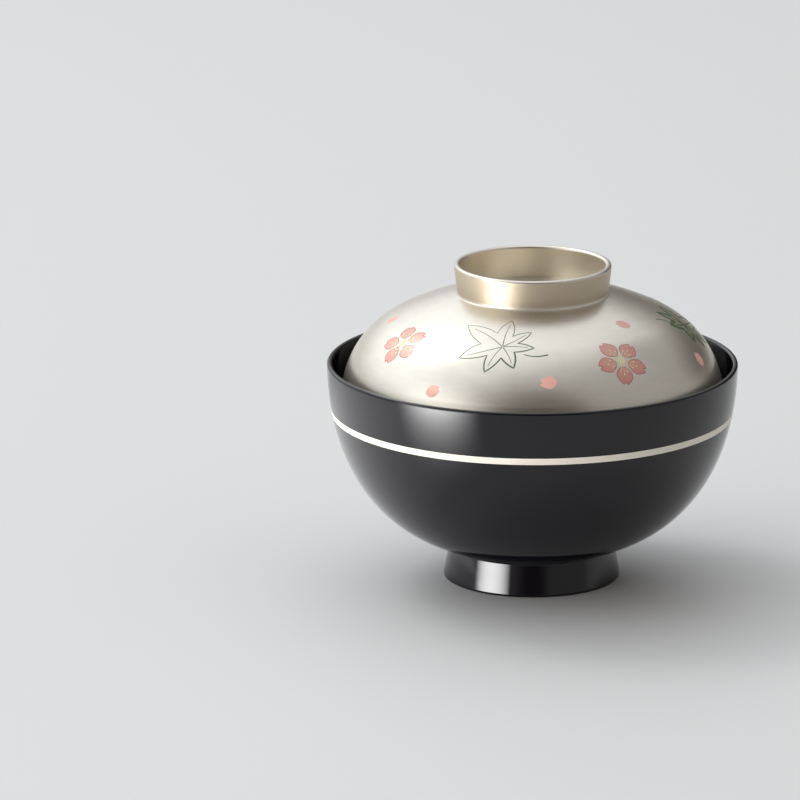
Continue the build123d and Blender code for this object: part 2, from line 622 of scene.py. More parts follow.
class Motif:
    """A flat drawing: cells filled with paint, or strokes of a brush.

    Its points carry a quality, which is the shade of the paint or the width of the brush.
    """

    def __init__(self, quality):
        self.quality = quality
        self.points = []
        self.edges = []
        self.faces = []
        self.numbers = []

    def patch(self, rows, closed=False):
        """Fills the cells between rows of points, whose shade grows from the first row to the last."""
        start = len(self.points)
        width = len(rows[0])
        last = len(rows) - 1
        for count, row in enumerate(rows):
            self.points.extend(row)
            self.numbers.extend([count / last] * width)
        for count in range(last):
            for column in range(width if closed else width - 1):
                corner = start + count * width + column
                beside = start + count * width + (column + 1) % width
                self.faces.append((corner, corner + width, beside + width, beside))

    def disc(self, centre, radius):
        """Fills a dot."""
        rows = [arc(centre, radius * share, 0, math.tau, dot_sides)[:-1] for share in (0.0, 0.5, 1.0)]
        self.patch(rows, closed=True)

    def stroke(self, path, brushes, closed=False):
        """Draws a line with a brush as wide as each number."""
        start = len(self.points)
        self.points.extend(path)
        self.numbers.extend(brushes)
        end = len(self.points) - 1
        self.edges.extend((number, number + 1) for number in range(start, end))
        if closed:
            self.edges.append((end, start))

    def outline(self, path, brush):
        """Draws a closed line with an even brush."""
        self.stroke(path, [brush] * len(path), closed=True)

    def taper(self, path, brush, shares):
        """Draws a line that is as wide as a share of the brush at its start, and another at its end."""
        self.stroke(path, tapered(path, brush, shares))

    def build(self):
        """The drawing as an object."""
        drawing = make_object("motif", [(p.x, p.y, 0) for p in self.points], self.edges, self.faces)
        set_numbers(drawing, self.quality, self.numbers)
        return drawing


# Fineness of the drawings
dot_sides = 10
petal_rows = 12
petal_columns = 12
edge_steps = 9


def polar(distance, angle):
    """A point at a distance, at an angle in degrees."""
    return along(Vector((0, 0)), angle, distance)


def turned(point, angle):
    """A point turned round the middle by an angle in degrees."""
    if not point.length:
        return point
    return polar(point.length, math.degrees(math.atan2(point.y, point.x)) + angle)


def bowed(start, middle, end):
    """A curve between two points that is drawn towards a third."""
    shares = [step / edge_steps for step in range(edge_steps + 1)]
    return [start.lerp(middle, share).lerp(middle.lerp(end, share), share) for share in shares]


def bent(start, end, bulge):
    """A line that bulges to its left by a share of its length."""
    chord = end - start
    return bowed(start, (start + end) / 2 + Vector((-chord.y, chord.x)) * bulge * 2, end)


def tapered(path, brush, shares):
    """Brush widths along a path, from its start to its end."""
    start, end = [share * brush for share in shares]
    last = len(path) - 1
    return [start + (end - start) * number / last for number in range(last + 1)]


notch_width = 0.45  # of a petal's notch, as a share of the petal's half width
tip_round = 0.12  # how far a petal's tip falls back at its sides, as a share of its length
swell_start = 0.04  # the stretch of half a wave that a petal's width follows
swell_run = 0.78


class Petal:
    """A notched petal, from its root at a distance from the middle outwards along X."""

    def __init__(self, root, length, half_width, notch, slimness=0.9):
        self.root = root
        self.length = length
        self.half_width = half_width
        self.notch = notch
        self.slimness = slimness

    def point(self, share, side):
        """The point at a share of the length, and of the half width to either side."""
        dip = self.notch * max(0.0, 1 - abs(side) / notch_width) + tip_round * side * side
        swell = math.sin(math.pi * (swell_start + swell_run * share**self.slimness))
        return Vector((self.root + share * self.length * (1 - dip), side * self.half_width * swell))

    def rows(self):
        """Rows of points across the petal, from its root to its tip."""
        sides = [2 * column / petal_columns - 1 for column in range(petal_columns + 1)]
        return [[self.point(row / petal_rows, side) for side in sides] for row in range(petal_rows + 1)]

    def outline(self):
        """From the root up one side, across the notch and back down the other side."""
        rows = self.rows()
        rising = [row[0] for row in rows]
        falling = [row[-1] for row in rows[::-1]]
        return rising + rows[-1][1:-1] + falling


blossom_petal = Petal(root=2.0 * MM, length=6.1 * MM, half_width=2.6 * MM, notch=0.2)
blossom_petals = [72.0 * number for number in range(5)]  # their headings
blossom_heart = 1.0 * MM
stamen_fan = ((-17.0, 3.7 * MM), (0.0, 4.8 * MM), (17.0, 3.9 * MM))  # angle beside a petal, length
stamen_start = 0.6 * MM
stamen_bulge = 0.04
stamen_taper = (1.0, 0.7)  # a taper is the width at the start and end of a line, as shares of its brush
stamen_dot = 0.27 * MM
stamen_height = 1.2  # as a share of a painted line's height
dot_height = 1.4


def blossom_fill():
    """The petals of a blossom."""
    motif = Motif("shade")
    for angle in blossom_petals:
        motif.patch([[turned(point, angle) for point in row] for row in blossom_petal.rows()])
    return motif


def blossom_lines(brush):
    """The outlines of a blossom's petals."""
    motif = Motif("brush")
    for angle in blossom_petals:
        motif.outline([turned(point, angle) for point in blossom_petal.outline()], brush)
    return motif


def blossom_threads(brush):
    """The stamens of a blossom."""
    motif = Motif("brush")
    for angle in blossom_petals:
        for beside, length in stamen_fan:
            heading = angle + beside
            thread = bent(polar(stamen_start, heading), polar(length, heading), stamen_bulge)
            motif.taper(thread, brush, stamen_taper)
    return motif


def blossom_dots():
    """The middle of a blossom, and the ends of its stamens."""
    motif = Motif("shade")
    motif.disc(Vector((0, 0)), blossom_heart)
    for angle in blossom_petals:
        for beside, length in stamen_fan:
            motif.disc(polar(length, angle + beside), stamen_dot)
    return motif


fallen_petal = Petal(root=-2.3 * MM, length=4.7 * MM, half_width=1.9 * MM, notch=0.2, slimness=0.8)


def petal_fill():
    """A single petal."""
    motif = Motif("shade")
    motif.patch(fallen_petal.rows())
    return motif


# Lobes of a maple leaf round its middle: angle from the main lobe, and length
leaf_lobes = (
    (-133.2, 9.2 * MM),
    (-90.0, 10.5 * MM),
    (-49.5, 13.1 * MM),
    (0.0, 16.4 * MM),
    (60.5, 13.1 * MM),
    (110.0, 10.5 * MM),
    (162.8, 9.2 * MM),
)
leaf_notch = 0.46  # depth of the leaf between two lobes, as a share of their length
leaf_bulge = 0.08
vein_start = 0.3 * MM
vein_reach = 0.8  # as a share of the lobe's length
vein_bulge = 0.03
vein_taper = (0.8, 0.45)
leaf_stem = 7.1 * MM
stem_bulge = -0.12
stem_taper = (0.9, 1.4)
press_angle = 165.0  # where the brush is pressed hardest, from the main lobe
press = 0.45  # how much wider the brush gets there, as a share
dense_brush = 3.0  # for the dense leaf, as a share of the fine leaves' brush


def leaf_outline():
    """The edge of a maple leaf, from notch to tip to notch all round."""
    path = []
    for number, (angle, length) in enumerate(leaf_lobes):
        before_angle, before_length = leaf_lobes[number - 1]
        after_angle, after_length = leaf_lobes[(number + 1) % len(leaf_lobes)]
        before = angle - (angle - before_angle) % 360 / 2
        after = angle + (after_angle - angle) % 360 / 2
        tip = polar(length, angle)
        rising = bent(polar(leaf_notch * (before_length + length) / 2, before), tip, -leaf_bulge)
        falling = bent(tip, polar(leaf_notch * (after_length + length) / 2, after), -leaf_bulge)
        path += rising[:-1] + falling[:-1]
    return path


def pressed_brush(point, brush):
    """A brush that is pressed harder on one side of the leaf."""
    side = math.atan2(point.y, point.x) - math.radians(press_angle)
    return brush * (1 + press * math.cos(side))


def leaf_drawing(brush):
    """The outline and the veins of a leaf."""
    motif = Motif("brush")
    edge = leaf_outline()
    motif.stroke(edge, [pressed_brush(point, brush) for point in edge], closed=True)
    for number, (angle, length) in enumerate(leaf_lobes):
        bulge = vein_bulge * (-1) ** number
        vein = bent(polar(vein_start, angle), polar(vein_reach * length, angle), bulge)
        motif.taper(vein, brush, vein_taper)
    return motif


def stem_drawing(brush):
    """The stem of a leaf."""
    motif = Motif("brush")
    stem = bent(Vector((0, 0)), Vector((leaf_stem, 0)), stem_bulge)
    motif.taper(stem, brush, stem_taper)
    return motif


gold_petals = ((155.0, 10.7 * MM), (92.0, 9.7 * MM), (25.0, 11.0 * MM))  # heading and length
gold_root = 0.3 * MM
gold_half_width = 2.3 * MM
gold_notch = 0.13
gold_slimness = 1.25
gold_threads = (127.0, 121.0, 70.0, 63.0, 55.0)  # headings of the stamens
gold_thread_start = 5.4 * MM
gold_thread_end = 8.2 * MM
gold_thread_taper = (0.75, 0.95)
gold_thread_knob = (1.6, 1.9)  # at its last two points
gold_bulge = 0.03
gold_stem = (Vector((0, -0.3 * MM)), Vector((0.2 * MM, -3.6 * MM)), Vector((2.4 * MM, -6.4 * MM)))
gold_stem_taper = (1.0, 2.0)
single_gold_petal = Petal(-5.4 * MM, length=10.9 * MM, half_width=2.2 * MM, notch=0.14, slimness=1.1)
gold_vein = (0.98, 0.32)  # from near the petal's tip towards its root, as shares of its length
gold_vein_taper = (1.0, 0.5)


def gold_blossom_drawing(brush):
    """A blossom seen from the side: three petals, the stamens between them, and a stem."""
    motif = Motif("brush")
    for heading, length in gold_petals:
        petal = Petal(gold_root, length, gold_half_width, gold_notch, gold_slimness)
        motif.outline([turned(point, heading) for point in petal.outline()], brush)
    for heading in gold_threads:
        thread = bent(polar(gold_thread_start, heading), polar(gold_thread_end, heading), gold_bulge)
        widths = tapered(thread, brush, gold_thread_taper)
        widths[-2:] = [share * brush for share in gold_thread_knob]
        motif.stroke(thread, widths)
    motif.taper(bowed(*gold_stem), brush, gold_stem_taper)
    return motif


def gold_petal_drawing(brush):
    """The outline of a single petal, with a vein."""
    motif = Motif("brush")
    motif.outline(single_gold_petal.outline(), brush)
    vein = bent(*[single_gold_petal.point(share, 0.0) for share in gold_vein], gold_bulge)
    motif.taper(vein, brush, gold_vein_taper)
    return motif


# Where the motifs lie outside on the lid: azimuth, reach, turn and size
blossom_places = (
    (-57.2, 47.5 * MM, 50.0, 0.95),
    (33.6, 49.6 * MM, 41.0, 1.0),
    (126.0, 48.5 * MM, 62.0, 1.0),
    (-143.0, 50.0 * MM, 20.0, 1.0),
)
petal_places = (
    (-33.0, 59.8 * MM, 26.0, 1.0),
    (5.4, 54.8 * MM, 180.0, 1.06),
    (-82.7, 43.4 * MM, 60.0, 0.94),
    (49.7, 35.6 * MM, 130.0, 1.02),
    (71.8, 56.8 * MM, 80.0, 1.02),
    (148.0, 58.0 * MM, 200.0, 1.0),
    (-168.0, 58.5 * MM, 15.0, 1.0),
    (-121.0, 55.0 * MM, 120.0, 1.0),
    (121.0, 59.0 * MM, 310.0, 1.0),
)
leaf_places = (
    (-12.4, 42.0 * MM, 139.0, 1.0),
    (172.0, 44.0 * MM, 100.0, 1.0),
)
dense_leaf_places = ((86.0, 46.8 * MM, -10.0, 0.84),)
stem_places = (
    (-3.4, 44.9 * MM, 4.0, 1.0),
    (78.8, 44.2 * MM, 124.0, 0.9),
    (169.0, 51.5 * MM, -70.0, 1.0),
)

# Where they lie inside, as seen from below: across, towards the front, heading and size
gold_blossom_places = ((-17.8 * MM, -8.2 * MM, 0.0, 1.0),)
gold_petal_places = ((7.7 * MM, 15.0 * MM, 148.0, 0.98), (15.4 * MM, -14.6 * MM, 53.0, 1.02))


def seen_from_below(places):
    """Places inside the lid as azimuth, reach, turn and size."""
    found = []
    for across, front, heading, size in places:
        spot = Vector((across, front))
        turn = heading - math.degrees(math.atan2(-front, -across)) + 90
        found.append((math.degrees(math.atan2(across, front)), spot.length, turn, size))
    return found


def paint_layer(name, tree, motif, places, meridian, side, thickness, material):
    """One layer of paint, laid on the lid at each of its places."""
    layer = make_object(name, [(0, 0, 0)] * len(places))
    for number, heading in enumerate(("azimuth", "reach", "turn", "size")):
        column = [place[number] for place in places]
        if heading in ("azimuth", "turn"):
            column = [math.radians(angle) for angle in column]
        set_numbers(layer, heading, column)
    drawing = motif.build()
    surface = line_object("meridian", meridian)
    values = {
        "Motif": drawing,
        "Meridian": surface,
        "Side": side,
        "Thickness": thickness,
        "Material": material,
    }
    grow(layer, tree, values)
    for helper in (drawing, surface):
        mesh = helper.data
        bpy.data.objects.remove(helper)
        bpy.data.meshes.remove(mesh)
    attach(layer, "lid")


# Finishes

# Grains of the patterns to the metre, how high they stand, and how far they change the roughness
swell_grain = 90
swell_height = 0.02 * MM
haze_grain = 420
haze_dullness = 0.05
cloud_grain = 70
powder_grain = 5200
powder_dullness = 0.03
rubbing_grain = 1300
rubbing_height = 0.004 * MM
rubbing_dullness = 0.05
streak_grain = 1400
streak_height = 0.01 * MM
streak_dullness = 0.1
paper_grain = 900

# The darkest and the lightest tone of a finish, as shares of its colour
black_tones = (0.7, 1.2)
silver_tones = (0.85, 1.15)
paper_tones = (0.99, 1.01)

# Patterns that run round the axis: how far they change on their way round, and how much faster they
# change with the height than with the radius
haze_drift = 4 * MM
rubbing_drift = 6 * MM
climb = 1.3

# Where the lifting ring's painted light and shade change: from its hollow, which has painted light, to its
# outside, and on its outer wall, which has painted shade
hollow_radii = (ring_radius - 0.6 * MM, ring_radius - 0.2 * MM)
shaded_wall_from = (ring_base, ring_base + 1.2 * MM)
shaded_wall_to = (ring_top - 1.0 * MM, ring_top - 0.3 * MM)

lacquer_ior = 1.47


def material_graph(name):
    """A new material, its tree and the object's own coordinates."""
    material = bpy.data.materials.new(name)
    material.use_nodes = True
    graph = Graph(material.node_tree)
    return material, graph, graph.add("ShaderNodeTexCoord")["Object"]


def set_surface(graph, inputs):
    """The Principled shader with its inputs, as the material's surface."""
    shader = graph.add("ShaderNodeBsdfPrincipled", inputs=inputs)["BSDF"]
    graph.add("ShaderNodeOutputMaterial", inputs={"Surface": shader})


def noise(graph, place, grain, detail=2.0):
    """Noise from 0 to 1, with so many grains to the metre."""
    inputs = {"Vector": place, "Scale": grain, "Detail": detail}
    return graph.add("ShaderNodeTexNoise", inputs=inputs)["Fac"]


def ramp(graph, value, low, high):
    """Smoothly from 0 at a low value to 1 at a high one."""
    inputs = {"Value": value, "From Min": low, "From Max": high}
    return graph.add("ShaderNodeMapRange", {"interpolation_type": "SMOOTHSTEP"}, inputs)["Result"]


def opaque(colour):
    """A plain colour with its alpha, or a colour that varies."""
    return colour if isinstance(colour, Value) else (*colour, 1.0)


def mixed(graph, factor, first, second):
    """A colour between two others."""
    inputs = {"Factor": factor, "A": opaque(first), "B": opaque(second)}
    return graph.add("ShaderNodeMix", {"data_type": "RGBA"}, inputs)["Result"]


def shaded(colour, factor):
    """A colour made darker or lighter."""
    return tuple(min(1.0, channel * factor) for channel in colour)


def toned(graph, pattern, colour, tones):
    """A colour that a pattern makes darker or lighter from place to place."""
    return mixed(graph, pattern, *[shaded(colour, tone) for tone in tones])


def bump(graph, height, distance):
    """The normal of a surface that rises by up to a distance."""
    return graph.add("ShaderNodeBump", inputs={"Height": height, "Distance": distance})["Normal"]


def axis_distance(spot):
    """The distance of a spot from the axis, where it stays just above zero."""
    return (spot["X"] * spot["X"] + spot["Y"] * spot["Y"] + 1e-9) ** 0.5


def turned_place(graph, place, drift):
    """Coordinates in which a pattern runs round the axis: direction from the axis, then the section."""
    spot = graph.parts(place)
    radius = axis_distance(spot)
    return graph.vector(
        X=spot["X"] / radius * drift, Y=spot["Y"] / radius * drift, Z=radius + spot["Z"] * climb
    )


def black_lacquer(finish):
    """Polished black lacquer, with the faint swell of a brushed and rubbed coat."""
    name = "polished_black"
    if name in bpy.data.materials:
        return bpy.data.materials[name]
    material, graph, place = material_graph(name)
    swell = noise(graph, place, swell_grain)
    haze = noise(graph, turned_place(graph, place, haze_drift), haze_grain, 3)
    inputs = {
        "Base Color": toned(graph, swell, finish.black, black_tones),
        "Roughness": finish.black_roughness + (haze - 0.5) * haze_dullness,
        "IOR": lacquer_ior,
        "Normal": bump(graph, swell, swell_height),
    }
    set_surface(graph, inputs)
    return material


def ring_painted_light(graph, place, silver, finish):
    """The silver's colour with painted light in the lifting ring's hollow and painted shade on its outer
    wall, and the mask of that outer wall.
    """
    spot = graph.parts(place)
    # The outer wall gets painted shade and reflection, a darker and warmer silver, and its mask is also
    # used for its roughness
    outside = ramp(graph, axis_distance(spot), *hollow_radii)
    wall = outside * ramp(graph, spot["Z"], *shaded_wall_from) * (1 - ramp(graph, spot["Z"], *shaded_wall_to))
    # The hollow gets painted light, a lighter and warmer silver
    silver = mixed(graph, wall, silver, finish.ring_wall_shaded_silver)
    return mixed(graph, outside, finish.hollow_lit_silver, silver), wall


def silver_lacquer(name, colour, roughness, metallic=0.0, ring_finish=None):
    """Satin lacquer with warm silver powder, rubbed round and round on the lathe."""
    material, graph, place = material_graph(name)
    powder = noise(graph, place, powder_grain, 1)
    cloud = noise(graph, place, cloud_grain, 3)
    rubbed = noise(graph, turned_place(graph, place, rubbing_drift), rubbing_grain, 4)
    silver = toned(graph, 0.3 * cloud + 0.2 * powder + 0.5 * rubbed, colour, silver_tones)
    satin = roughness + (rubbed - 0.5) * rubbing_dullness + (powder - 0.5) * powder_dullness
    # The lifting ring gets painted light in its hollow and painted shade on its outer wall
    if ring_finish is not None:
        silver, wall = ring_painted_light(graph, place, silver, ring_finish)
        satin = satin + wall * ring_finish.held_roughness
    inputs = {
        "Base Color": silver,
        "Metallic": metallic,
        "Roughness": satin,
        "Normal": bump(graph, 0.8 * rubbed + 0.2 * powder, rubbing_height),
    }
    set_surface(graph, inputs)
    return material


def paint(name, inner, outer, metallic=0.0, roughness=0.4, cover=1.0):
    """Lacquer paint that changes from an inner to an outer colour, with streaks of the brush."""
    material, graph, place = material_graph(name)
    streaks = noise(graph, place, streak_grain, 3)
    shade = graph.add("ShaderNodeAttribute", {"attribute_name": "shade"})["Fac"]
    inputs = {
        "Base Color": mixed(graph, 0.75 * shade + 0.5 * (streaks - 0.25), inner, outer),
        "Metallic": metallic,
        "Roughness": roughness + (streaks - 0.5) * streak_dullness,
        "Alpha": cover,
        "Normal": bump(graph, streaks, streak_height),
    }
    set_surface(graph, inputs)
    return material


# Settings that a user would change


def colour_setting(name, description, default):
    return FloatVectorProperty(
        name=name, description=description, subtype="COLOR", size=3, min=0.0, max=1.0, default=default
    )


def share_setting(name, description, default):
    return FloatProperty(
        name=name, description=description, subtype="FACTOR", min=0.0, max=1.0, default=default
    )


def width_setting(name, description, default):
    return FloatProperty(
        name=name, description=description, unit="LENGTH", precision=5, min=1e-6, default=default
    )


def power_setting(name, description, default):
    return FloatProperty(name=name, description=description, subtype="POWER", min=0.0, default=default)


class FinishSettings(bpy.types.PropertyGroup):
    """Lacquers and fineness of the turned pieces."""

    black: colour_setting("Black lacquer", "Colour of the bowl and the lid's inside", (0.004, 0.003, 0.006))
    black_roughness: share_setting("Black roughness", "Dullness of the black lacquer", 0.08)
    silver: colour_setting("Silver lacquer", "Colour of the lid's outside", (0.79, 0.735, 0.645))
    silver_metallic: share_setting("Silver metal", "How metallic the lid's outside is", 0.88)
    silver_roughness: share_setting("Silver roughness", "Dullness of the lid's outside", 0.31)
    # Painted shade and reflection: the ring's outer wall darker and warmer than the dome's silver
    ring_wall_shaded_silver: colour_setting("Held silver", "Colour of the ring's outer wall", (0.49, 0.415, 0.31))
    held_roughness: share_setting("Held roughness", "How much duller the ring's outer wall is", 0.12)
    # Painted light: the ring's hollow lighter and warmer than the dome's silver
    hollow_lit_silver: colour_setting("Hollow silver", "Colour of the ring's hollow", (0.89, 0.82, 0.70))
    line: colour_setting("Silver line", "Colour of the line round the bowl", (0.86, 0.80, 0.69))
    line_roughness: share_setting("Line roughness", "Dullness of the line round the bowl", 0.55)
    sides: IntProperty(name="Sides", description="Steps round a turned piece", default=256, min=32, max=512)


class PaintSettings(bpy.types.PropertyGroup):
    """Paints and brushes of the motifs."""

    blossom_root: colour_setting("Blossom root", "Petals of a blossom near its middle", (1.0, 0.36, 0.26))
    blossom_tip: colour_setting("Blossom tip", "Petals of a blossom at their tips", (0.98, 0.13, 0.09))
    blossom_edge: colour_setting("Blossom edge", "Outline of a blossom's petals", (0.40, 0.10, 0.07))
    blossom_cover: share_setting("Blossom cover", "How far a blossom's petals hide the silver", 0.38)
    edge_cover: share_setting("Edge cover", "How far the outline of a blossom hides it", 0.5)
    stamen: colour_setting("Stamens", "Stamens and middle of a blossom", (0.80, 0.68, 0.42))
    petal: colour_setting("Fallen petals", "Single petals", (1.0, 0.54, 0.44))
    leaf_line: colour_setting("Leaf line", "Outline, veins and stem of a leaf", (0.085, 0.135, 0.055))
    gold: colour_setting("Gold", "Lines inside the lid", (0.83, 0.62, 0.33))
    film: width_setting("Film", "Height of a painted patch", 0.035 * MM)
    ridge: width_setting("Ridge", "Height of a painted line", 0.06 * MM)
    blossom_brush: width_setting("Blossom brush", "Width of a petal's outline", 0.24 * MM)
    stamen_brush: width_setting("Stamen brush", "Width of a stamen", 0.24 * MM)
    leaf_brush: width_setting("Leaf brush", "Width of a leaf's outline", 0.37 * MM)
    gold_brush: width_setting("Gold brush", "Width of a gold line", 0.42 * MM)


class StageSettings(bpy.types.PropertyGroup):
    """Floor, lamps and camera."""

    floor: colour_setting("Floor", "Colour of the floor", (0.875, 0.86, 0.848))
    floor_roughness: share_setting("Floor roughness", "Dullness of the floor", 0.65)
    key_softbox: power_setting("Key softbox", "Power of the lamp behind at the left", 8.5)
    side_softbox: power_setting("Side softbox", "Power of the lamp at the left", 4.0)
    strip: power_setting("Strip", "Power of the low strip at the left", 9.0)
    card: power_setting("Card", "Power of the card on the floor in front at the left", 4.9)
    left_card: power_setting("Left card", "Power of the faint card on the floor at the left", 0.32)
    world_strength: FloatProperty(
        name="Room light", description="Strength of the light tent", default=1.43, min=0.0, max=2.0
    )
    focal_length: FloatProperty(
        name="Focal length", description="Of the camera's lens", default=360.0, subtype="DISTANCE_CAMERA"
    )
    camera_distance: FloatProperty(
        name="Camera distance", description="From the middle of the bowl", default=2.377, unit="LENGTH"
    )
    camera_elevation: FloatProperty(
        name="Camera elevation",
        description="Above the horizon",
        default=math.radians(14.87),
        subtype="ANGLE",
    )


# Operators


class TurnBowl(bpy.types.Operator):
    """Turn the bowl and lacquer it black"""

    bl_idname = "soup_bowl.turn_bowl"
    bl_label = "Turn bowl"

    def execute(self, context):
        material = black_lacquer(context.scene.soup_bowl_finish)
        bowl = turn_piece("turned_bowl", bowl_section(), material)
        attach(bowl, "bowl")
        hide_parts("bowl_body")
        return {"FINISHED"}


class LaySilverLine(bpy.types.Operator):
    """Lay the silver line round the bowl"""

    bl_idname = "soup_bowl.lay_silver_line"
    bl_label = "Lay silver line"

    def execute(self, context):
        finish = context.scene.soup_bowl_finish
        material = silver_lacquer("line_silver", finish.line, finish.line_roughness)
        line = turn_piece("silver_line", band_section(), material)
        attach(line, "bowl")
        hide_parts("silver_band")
        return {"FINISHED"}


class TurnLid(bpy.types.Operator):
    """Turn the lid, lacquer it black and coat its outside with silver"""

    bl_idname = "soup_bowl.turn_lid"
    bl_label = "Turn lid"

    def execute(self, context):
        finish = context.scene.soup_bowl_finish
        lid = turn_piece("turned_lid", lid_section(), black_lacquer(finish))
        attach(lid, "lid")
        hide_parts("lid_body")
        silver = silver_lacquer(
            "lid_silver", finish.silver, finish.silver_roughness, finish.silver_metallic, finish
        )
        coat = turn_piece("silver_coat", coat_section(), silver)
        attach(coat, "lid")
        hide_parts("lid_silver_coat")
        return {"FINISHED"}


def paint_outside(name, tree, motif, places, thickness, material):
    """One layer of paint on the dome."""
    paint_layer(name, tree, motif, places, dome_meridian(), 1.0, thickness, material)


def paint_inside(name, tree, motif, places, thickness, material):
    """One layer of paint in the lid's hollow."""
    paint_layer(name, tree, motif, seen_from_below(places), lid_hollow(), -1.0, thickness, material)


class PaintBlossoms(bpy.types.Operator):
    """Paint the cherry blossoms on the lid"""

    bl_idname = "soup_bowl.paint_blossoms"
    bl_label = "Paint blossoms"

    def execute(self, context):
        paints = context.scene.soup_bowl_paint
        tip = paints.blossom_tip
        petal = paint("blossom_paint", paints.blossom_root, tip, cover=paints.blossom_cover)
        edge = paint("blossom_edge_paint", paints.blossom_edge, tip, cover=paints.edge_cover)
        cream = paint("stamen_paint", paints.stamen, shaded(paints.stamen, 1.2))
        lines = blossom_lines(paints.blossom_brush)
        threads = blossom_threads(paints.stamen_brush)
        paint_outside("blossom_petals", patch_tree(), blossom_fill(), blossom_places, paints.film, petal)
        paint_outside("blossom_edges", stroke_tree(), lines, blossom_places, paints.ridge, edge)
        stamen_ridge = stamen_height * paints.ridge
        paint_outside("blossom_stamens", stroke_tree(), threads, blossom_places, stamen_ridge, cream)
        dot_ridge = dot_height * paints.ridge
        paint_outside("blossom_dots", patch_tree(), blossom_dots(), blossom_places, dot_ridge, cream)
        return {"FINISHED"}


class PaintPetals(bpy.types.Operator):
    """Paint the fallen petals on the lid"""

    bl_idname = "soup_bowl.paint_petals"
    bl_label = "Paint fallen petals"

    def execute(self, context):
        paints = context.scene.soup_bowl_paint
        coral = paint("petal_paint", shaded(paints.petal, 0.9), paints.petal)
        paint_outside("fallen_petals", patch_tree(), petal_fill(), petal_places, paints.film, coral)
        return {"FINISHED"}


class PaintLeaves(bpy.types.Operator):
    """Paint the maple leaves on the lid"""

    bl_idname = "soup_bowl.paint_leaves"
    bl_label = "Paint leaves"

    def execute(self, context):
        paints = context.scene.soup_bowl_paint
        green = paint("leaf_line_paint", paints.leaf_line, shaded(paints.leaf_line, 1.4))
        lines = leaf_drawing(paints.leaf_brush)
        dense = leaf_drawing(dense_brush * paints.leaf_brush)
        paint_outside("leaf_lines", stroke_tree(), lines, leaf_places, paints.ridge, green)
        paint_outside("dense_leaf_lines", stroke_tree(), dense, dense_leaf_places, paints.ridge, green)
        stems = stem_drawing(paints.leaf_brush)
        paint_outside("leaf_stems", stroke_tree(), stems, stem_places, paints.ridge, green)
        return {"FINISHED"}


class PaintGold(bpy.types.Operator):
    """Draw the gold blossom and petals inside the lid"""

    bl_idname = "soup_bowl.paint_gold"
    bl_label = "Paint gold"

    def execute(self, context):
        paints = context.scene.soup_bowl_paint
        gold = paint("gold_paint", paints.gold, shaded(paints.gold, 1.15), metallic=1.0, roughness=0.35)
        blossom = gold_blossom_drawing(paints.gold_brush)
        petal = gold_petal_drawing(paints.gold_brush)
        paint_inside("gold_blossom", stroke_tree(), blossom, gold_blossom_places, paints.ridge, gold)
        paint_inside("gold_petals", stroke_tree(), petal, gold_petal_places, paints.ridge, gold)
        return {"FINISHED"}


class SetStage(bpy.types.Operator):
    """Set the floor, the lamps and the camera"""

    bl_idname = "soup_bowl.set_stage"
    bl_label = "Set stage"

    def execute(self, context):
        stage = context.scene.soup_bowl_stage
        signs = ((-1, -1), (1, -1), (1, 1), (-1, 1))
        corners = [(x * floor_reach, y * floor_reach, 0) for x, y in signs]
        floor = make_object("floor", corners, faces=[(0, 1, 2, 3)])
        material, graph, place = material_graph("floor_paper")
        colour = toned(graph, noise(graph, place, paper_grain), stage.floor, paper_tones)
        set_surface(graph, {"Base Color": colour, "Roughness": stage.floor_roughness})
        floor.data.materials.append(material)
        for name, (stand, target, size, glow) in softboxes.items():
            add_softbox(name, stand, target, size, getattr(stage, name), glow)
        set_world(context.scene, stage.world_strength)
        set_camera(context.scene, stage)
        context.scene.view_settings.view_transform = "Standard"
        return {"FINISHED"}


# Lamps, light tent and camera


def at_least_zero(value):
    """A number that is never below zero."""
    return value.graph.math("MAXIMUM", value, 0.0)


def round_glow(across, along_it):
    """Brightest in the middle."""
    return 1 - 4 * ((across - 0.5) ** 2 + (along_it - 0.5) ** 2)


def strip_glow(across, along_it):
    """Brightest half way across, and even from top to bottom."""
    return 1 - (2 * across - 1) ** 2


def far_glow(across, along_it):
    """A wedge, brightest at its broad far end, and fading to both sides."""
    width = wedge_tip + (1 - wedge_tip) * along_it
    edge = at_least_zero(1 - ((2 * across - 1) / width) ** 2)
    return along_it**2 * edge * edge


floor_reach = 8.0
bowl_middle = Vector((0, 0, 50 * MM))
wedge_tip = 0.2  # width of the wedge at its near end, as a share of its far end
softboxes = {  # where each lamp stands, what it faces, its size and its glow
    "key_softbox": ((-0.79, 0.66, 1.28), bowl_middle, (0.8, 0.7), round_glow),
    "side_softbox": ((-1.12, -0.62, 0.55), bowl_middle, (1.6, 1.0), round_glow),
    "strip": ((-1.0, -0.72, 0.06), bowl_middle, (1.2, 0.11), strip_glow),
    "card": ((-0.136, -0.133, 0.003), (-0.13, -0.129, 0.82), (0.28, 0.22), far_glow),
    "left_card": ((-0.2, 0.0, 0.004), (-0.2, 0.01, 1.0), (0.32, 0.4), round_glow),
}


def add_softbox(name, place, target, size, power, glow):
    """A soft lamp that faces a target, and glows as a function of its two sides says."""
    lamp = bpy.data.lights.new(name, "AREA")
    lamp.shape = "RECTANGLE"
    lamp.size, lamp.size_y = size
    lamp.energy = power
    lamp.use_nodes = True
    graph = Graph(lamp.node_tree)
    sides = graph.parts(graph.add("ShaderNodeNewGeometry")["Parametric"])
    brightness = at_least_zero(glow(sides["X"], sides["Y"]))
    light = graph.add("ShaderNodeEmission", inputs={"Color": brightness, "Strength": 1.0})["Emission"]
    graph.add("ShaderNodeOutputLight", inputs={"Surface": light})
    holder = bpy.data.objects.new(name, lamp)
    holder.location = place
    holder.visible_camera = False
    holder.rotation_mode = "QUATERNION"
    holder.rotation_quaternion = (Vector(target) - Vector(place)).to_track_quat("-Z", "Y")
    bpy.context.scene.collection.objects.link(holder)


